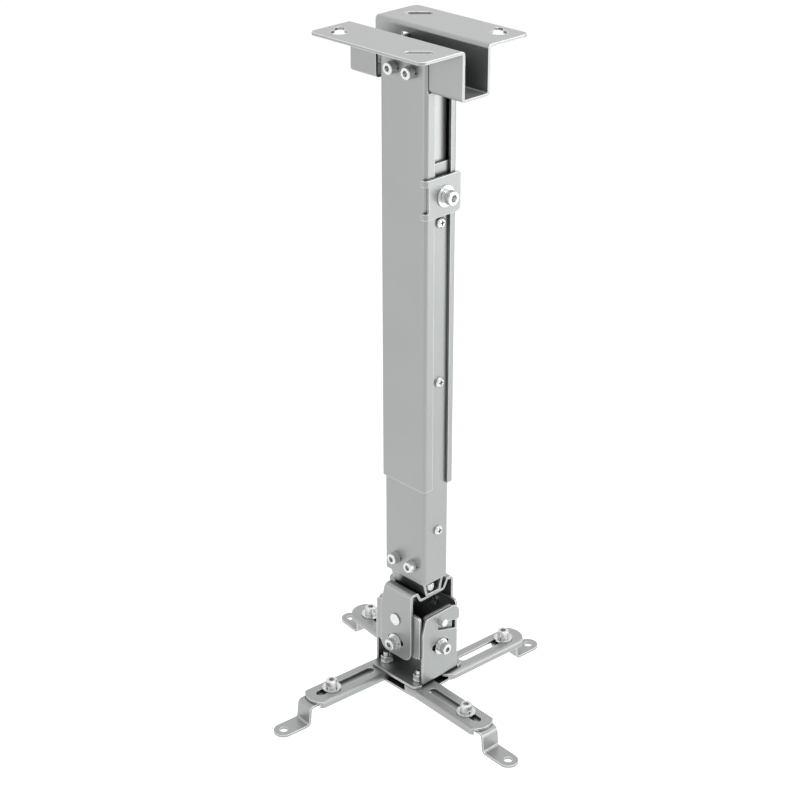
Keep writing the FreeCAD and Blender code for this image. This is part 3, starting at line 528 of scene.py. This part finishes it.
def end_of(box, direction):
    """The middle of a box's end face in a direction."""
    k = axis_of(direction)
    point = (box[0] + box[1]) / 2
    point[k] = box[1][k] if direction[k] > 0 else box[0][k]
    return point


# Screws that are made here

def circle_ring(radius, height):
    """Points round a circle at a height."""
    turn = math.tau / TURN_STEPS
    return [Vector((radius * math.cos(turn * i), radius * math.sin(turn * i), height))
            for i in range(TURN_STEPS)]


def hexagon_ring(across, height):
    """Points round a hexagon at a height, as many as a circle has."""
    side = math.tau / 6
    points = []
    for point in circle_ring(across / 2, height):
        angle = math.atan2(point.y, point.x)
        off = (angle + side / 2) % side - side / 2
        points.append(Vector((point.x / math.cos(off), point.y / math.cos(off), height)))
    return points


def section_ring(inner, outer, low, high, angle):
    """The square section of a washer at an angle."""
    out = Vector((math.cos(angle), math.sin(angle), 0))
    return [out * inner + UP * low, out * outer + UP * low, out * outer + UP * high, out * inner + UP * high]


def skin(rings, closed=False):
    """A closed mesh through rings of points, which ends flat or joins up with its start."""
    mesh = bmesh.new()
    loops = [[mesh.verts.new(point) for point in ring] for ring in rings]
    pairs = list(zip(loops, loops[1:] + loops[:1])) if closed else list(zip(loops, loops[1:]))
    for one, other in pairs:
        for i in range(len(one)):
            j = (i + 1) % len(one)
            mesh.faces.new((one[i], one[j], other[j], other[i]))
    if not closed:
        mesh.faces.new(loops[0])
        mesh.faces.new(loops[-1])
    bmesh.ops.recalc_face_normals(mesh, faces=mesh.faces)
    return mesh


def socket_screw(head_radius, head_height, socket, shank_radius, shank):
    """A socket cap screw seated at 0, its head up and its shank down."""
    corner = 0.5 * MM
    outline = ((shank_radius - corner, -shank), (shank_radius, corner - shank), (shank_radius, 0),
               (head_radius, 0), (head_radius, head_height - corner), (head_radius - corner, head_height))
    return skin([circle_ring(radius, height) for radius, height in outline]
                + [hexagon_ring(socket, head_height), hexagon_ring(socket, head_height / 2)])


def flat_washer(outer, bore, height):
    """A flat washer that stands on 0."""
    turn = math.tau / TURN_STEPS
    return skin([section_ring(bore, outer, 0, height, turn * i) for i in range(TURN_STEPS)], closed=True)


def spring_washer(outer, bore, height):
    """A spring washer that stands on 0: nearly one turn, with its ends a little apart in height."""
    gap, rise = math.radians(9), 0.15 * height
    sections = []
    for i in range(TURN_STEPS + 1):
        share = i / TURN_STEPS
        low = rise * share
        angle = gap / 2 + (math.tau - gap) * share
        sections.append(section_ring(bore, outer, low, low + height - rise, angle))
    return skin(sections)


def set_piece(name, shape, seat, direction, body, material):
    """Stand a shape on its seat, facing a direction, as a zinc piece that rides on a body."""
    turn = UP.rotation_difference(direction).to_matrix().to_4x4()
    shape.transform(Matrix.Translation(seat) @ turn)
    mesh = bpy.data.meshes.new(name)
    shape.to_mesh(mesh)
    shape.free()
    mesh.materials.append(material)
    piece = bpy.data.objects.new(name, mesh)
    bpy.context.scene.collection.objects.link(piece)
    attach(piece, body)
    return piece


def lock_seat(settings):
    """Where the swivel's lock screw stands: on the hanger's web, right of the swivel bolt."""
    return Vector((settings.lock_reach, 0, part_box("hanger")[0].z + SHEET))


def clamp_seat():
    """Where the clamp screw's flat washer lies on the clamp plate."""
    low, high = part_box("clamp_washer")
    return Vector((low.x, (low.y + high.y) / 2, (low.z + high.z) / 2))


def fit_lock_screw(settings, zinc):
    """The swivel's lock screw on its spring washer. The source has neither."""
    seat, body = lock_seat(settings), NODE_BODY["hanger"]
    coil = spring_washer(LOCK_COIL * settings.lock_head, M5_RADIUS, SPRING_WASHER)
    set_piece("lock_spring_washer", coil, seat, UP, body, zinc)
    screw = socket_screw(settings.lock_head, M5_HEAD_HEIGHT, M5_SOCKET, M5_RADIUS * SNUG_SHANK,
                         SPRING_WASHER * SNUG_SHANK)
    set_piece("lock_screw", screw, seat + UP * SPRING_WASHER, UP, body, zinc)


def fit_clamp_screw(settings, zinc):
    """The clamp screw one size up from the source's, with its washers. Its shank keeps the hole's M5."""
    seat, body, bore = clamp_seat(), NODE_BODY["clamp_screw"], M6_RADIUS * LOOSE_BORE
    disc = set_piece("clamp_disc", flat_washer(settings.clamp_disc, bore, WASHER), seat, RIGHT, body, zinc)
    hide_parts("clamp_washer")
    seat = seat + RIGHT * WASHER
    coil = spring_washer(settings.clamp_head * CLAMP_COIL, bore, SPRING_WASHER)
    coil = set_piece("clamp_coil", coil, seat, RIGHT, body, zinc)
    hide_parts("clamp_spring_washer")
    seat = seat + RIGHT * SPRING_WASHER
    shank = seat.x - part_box("clamp_screw")[0].x
    screw = socket_screw(settings.clamp_head, M6_HEAD_HEIGHT, M6_SOCKET, M5_RADIUS, shank)
    screw = set_piece("clamp_bolt", screw, seat, RIGHT, body, zinc)
    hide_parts("clamp_screw")


def cap_heads():
    """Each socket head of the source's screws: its body, outer end and the direction it faces."""
    heads = []
    for node in ("top_screws", "hanger_screws", "joint_screws"):
        for box in islands(node):
            span = box[1] - box[0]
            direction = outward(box, 0 if node == "joint_screws" and span.x > span.y else 1)
            heads.append((NODE_BODY[node], end_of(box, direction), direction))
    for name in ARM_NAMES:
        node = "foot_screw_" + name
        heads.append((NODE_BODY[node], end_of(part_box(node), UP), UP))
    return heads


def screw_ends():
    """Each bare screw end that stands out of a nut: body, place, direction inwards and bare length."""
    ends = []
    nut_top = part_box("pivot_nuts")[1].z
    for box in islands("pivot_screws"):
        point = end_of(box, UP)
        ends.append((NODE_BODY["pivot_screws"], point, DOWN, point.z - nut_top))
    for name in ARM_NAMES:
        node = "foot_screw_" + name
        point = end_of(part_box(node), DOWN)
        ends.append((NODE_BODY[node], point, UP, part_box("foot_nut_" + name)[0].z - point.z))
    return ends


# Operators

class MOUNT_OT_paint_sheet(bpy.types.Operator):
    """Paint the folded sheet pieces silver"""
    bl_idname = "mount.paint_sheet"
    bl_label = "Paint sheet"

    def execute(self, context):
        dress(sheet_nodes(), silver_paint(context.scene.mount_paint))
        # A lighter copy of the paint with less painted shade: painted light on the guide channel's face, seen
        # through the pole's slot.
        guide = silver_paint(context.scene.mount_paint, "guide_paint", share=1.25, depth=0.9)
        dress(["guide_channel"], guide)
        return {"FINISHED"}


class MOUNT_OT_plate_fasteners(bpy.types.Operator):
    """Plate the screws, nuts, washers and pins with bright zinc"""
    bl_idname = "mount.plate_fasteners"
    bl_label = "Plate fasteners"

    def execute(self, context):
        painted = set(sheet_nodes())
        dress([name for name in NODES if name not in painted], bright_zinc(context.scene.mount_zinc))
        dress(["slide_nut"], bright_zinc(context.scene.mount_zinc, "dark_key", share=0.6, roughness=0.45))
        return {"FINISHED"}


class MOUNT_OT_fit_screws(bpy.types.Operator):
    """Set the swivel's lock screw on the hanger and the large clamp screw on the pole"""
    bl_idname = "mount.fit_screws"
    bl_label = "Fit screws"

    def execute(self, context):
        zinc = bright_zinc(context.scene.mount_zinc, "screw_zinc")
        fit_lock_screw(context.scene.mount_screws, zinc)
        fit_clamp_screw(context.scene.mount_screws, zinc)
        return {"FINISHED"}


class MOUNT_OT_cut_threads(bpy.types.Operator):
    """Wind a thread round the bare ends of the screws"""
    bl_idname = "mount.cut_threads"
    bl_label = "Cut threads"

    def execute(self, context):
        settings = context.scene.mount_thread
        tree = thread_tree(bright_zinc(context.scene.mount_zinc, "thread_zinc", share=0.92, roughness=0.3))
        every = screw_ends()
        for body in dict.fromkeys(end[0] for end in every):
            ends = [end for end in every if end[0] == body]
            seats = [(point + inwards * settings.crest, inwards) for _, point, inwards, _ in ends]
            length = min(bare for _, _, _, bare in ends) - 2 * settings.crest
            values = {"Shank Radius": M5_RADIUS, "Pitch": settings.pitch, "Crest": settings.crest,
                      "Length": length, "Steps": settings.steps}
            bake_repeat("thread_" + body, tree, seats, values, body)
        return {"FINISHED"}


class MOUNT_OT_knurl_heads(bpy.types.Operator):
    """Rib the sides of the socket heads"""
    bl_idname = "mount.knurl_heads"
    bl_label = "Knurl heads"

    def execute(self, context):
        settings, screws = context.scene.mount_knurl, context.scene.mount_screws
        tree = knurl_tree(bright_zinc(context.scene.mount_zinc, "knurl_zinc", share=0.95, roughness=0.3))
        values = {"Head Radius": M5_HEAD_RADIUS, "Rib Height": settings.height, "Rib Length": settings.length,
                  "Lift": KNURL_LIFT, "Ribs": settings.count}
        heads = cap_heads()
        for body in dict.fromkeys(head[0] for head in heads):
            seats = [(point, -direction) for owner, point, direction in heads if owner == body]
            bake_repeat("knurl_" + body, tree, seats, values, body)
        lock_end = lock_seat(screws) + UP * (SPRING_WASHER + M5_HEAD_HEIGHT)
        bake_repeat("knurl_lock", tree, [(lock_end, -UP)], {**values, "Head Radius": screws.lock_head},
                    NODE_BODY["hanger"])
        clamp_end = clamp_seat() + RIGHT * (WASHER + SPRING_WASHER + M6_HEAD_HEIGHT)
        bake_repeat("knurl_clamp", tree, [(clamp_end, -RIGHT)], {**values, "Head Radius": screws.clamp_head},
                    NODE_BODY["clamp_screw"])
        return {"FINISHED"}


class MOUNT_OT_build_studio(bpy.types.Operator):
    """Lay the pale floor, hang the soft lamps and set the camera at the photograph's view"""
    bl_idname = "mount.build_studio"
    bl_label = "Build studio"

    def execute(self, context):
        settings = context.scene.mount_studio
        lay_floor(settings)
        hang_lamps(settings)
        set_world(settings)
        set_camera()
        context.scene.view_settings.view_transform = "Standard"
        return {"FINISHED"}


def seen_white(tree):
    """1 for the rays that see the surroundings as plain white: straight, glossy and through glass."""
    path = add_node(tree, "ShaderNodeLightPath")
    seen = calc(tree, "MAXIMUM", path.outputs["Is Camera Ray"], path.outputs["Is Glossy Ray"])
    return calc(tree, "MAXIMUM", seen, path.outputs["Is Transmission Ray"])


def pale_floor(settings):
    """A near-white floor that glows a little towards the viewer, so that it reads as white paper."""
    material, tree, output = shader_tree("pale_floor")
    tone = share_ramp(tree, noise(tree, FLOOR_CLOUD), WHITE, FLOOR_TONES)
    matt = add_node(tree, "ShaderNodeBsdfDiffuse", {"Color": tone})
    strength = calc(tree, "MULTIPLY", seen_white(tree), settings.paper)
    glow = add_node(tree, "ShaderNodeEmission", {"Strength": strength})
    both = add_node(tree, "ShaderNodeAddShader")
    tree.links.new(matt.outputs[0], both.inputs[0])
    tree.links.new(glow.outputs[0], both.inputs[1])
    tree.links.new(both.outputs[0], output.inputs["Surface"])
    return material


def lay_floor(settings):
    """The floor, well below the feet, as the mount hangs from above."""
    half = settings.floor_size / 2
    level = CAD_BOX[0][2] - settings.floor_drop
    mesh = bpy.data.meshes.new("floor")
    mesh.from_pydata([(-half, -half, level), (half, -half, level), (half, half, level), (-half, half, level)],
                     [], [(0, 1, 2, 3)])
    mesh.materials.append(pale_floor(settings))
    floor = bpy.data.objects.new("floor", mesh)
    bpy.context.scene.collection.objects.link(floor)


def hang_lamps(settings):
    """Three large soft lamps aimed at the middle of the mount."""
    for name, place, size in LAMPS:
        data = bpy.data.lights.new(name + "_lamp", "AREA")
        data.energy = getattr(settings, name)
        data.size = size
        lamp = bpy.data.objects.new(name + "_lamp", data)
        lamp.location = place
        lamp.rotation_euler = (Vector(LAMP_AIM) - Vector(place)).to_track_quat("-Z", "Y").to_euler()
        bpy.context.scene.collection.objects.link(lamp)


def set_world(settings):
    """An even pale sky; straight views, gloss and glass see it as white."""
    world = bpy.data.worlds.new("studio_sky")
    world.use_nodes = True
    tree = world.node_tree
    tree.nodes.clear()
    strength = calc(tree, "ADD", calc(tree, "MULTIPLY", seen_white(tree), 1.0 - settings.sky), settings.sky)
    light = add_node(tree, "ShaderNodeBackground", {"Color": (*WHITE, 1.0), "Strength": strength})
    output = tree.nodes.new("ShaderNodeOutputWorld")
    tree.links.new(light.outputs[0], output.inputs["Surface"])
    bpy.context.scene.world = world


def set_camera():
    """A camera before the mount's right front corner, looking down, with its frame shifted a little."""
    data = bpy.data.cameras.new("photo_camera")
    data.sensor_width = SENSOR_WIDTH
    data.lens = FOCAL_PX / FRAME_PX * SENSOR_WIDTH
    data.shift_x = (FRAME_PX / 2 - CENTRE_PX[0]) / FRAME_PX
    data.shift_y = (CENTRE_PX[1] - FRAME_PX / 2) / FRAME_PX
    data.clip_end = CLIP_END
    camera = bpy.data.objects.new("photo_camera", data)
    camera.location = CAMERA_PLACE
    camera.rotation_euler = Euler((math.radians(90 - PITCH), math.radians(ROLL), math.radians(HEADING)))
    bpy.context.scene.collection.objects.link(camera)
    bpy.context.scene.camera = camera


class MOUNT_PT_panel(bpy.types.Panel):
    """The mount's pieces and settings"""
    bl_idname = "MOUNT_PT_panel"
    bl_label = "Ceiling Mount"
    bl_space_type = "VIEW_3D"
    bl_region_type = "UI"
    bl_category = "Mount"

    def draw(self, context):
        for group, idname in STEPS.items():
            box = self.layout.box()
            settings = getattr(context.scene, group)
            for name in settings.__annotations__:
                box.prop(settings, name)
            box.operator(idname)


SETTINGS = {"mount_paint": PaintSettings, "mount_zinc": ZincSettings, "mount_screws": ScrewSettings,
            "mount_thread": ThreadSettings, "mount_knurl": KnurlSettings, "mount_studio": StudioSettings}
STEPS = {"mount_paint": "mount.paint_sheet", "mount_zinc": "mount.plate_fasteners",
         "mount_screws": "mount.fit_screws", "mount_thread": "mount.cut_threads",
         "mount_knurl": "mount.knurl_heads", "mount_studio": "mount.build_studio"}
CLASSES = (*SETTINGS.values(), MOUNT_OT_paint_sheet, MOUNT_OT_plate_fasteners, MOUNT_OT_fit_screws,
           MOUNT_OT_cut_threads, MOUNT_OT_knurl_heads, MOUNT_OT_build_studio, MOUNT_PT_panel)


def register():
    for item in CLASSES:
        bpy.utils.register_class(item)
    for name, kind in SETTINGS.items():
        setattr(bpy.types.Scene, name, PointerProperty(type=kind))


def unregister():
    for name in SETTINGS:
        delattr(bpy.types.Scene, name)
    for item in reversed(CLASSES):
        bpy.utils.unregister_class(item)


def main():
    register()
    bpy.ops.mount.paint_sheet()
    bpy.ops.mount.plate_fasteners()
    bpy.ops.mount.fit_screws()
    bpy.ops.mount.cut_threads()
    bpy.ops.mount.knurl_heads()
    bpy.ops.mount.build_studio()
    bpy.context.view_layer.update()


if __name__ == "__main__":
    main()
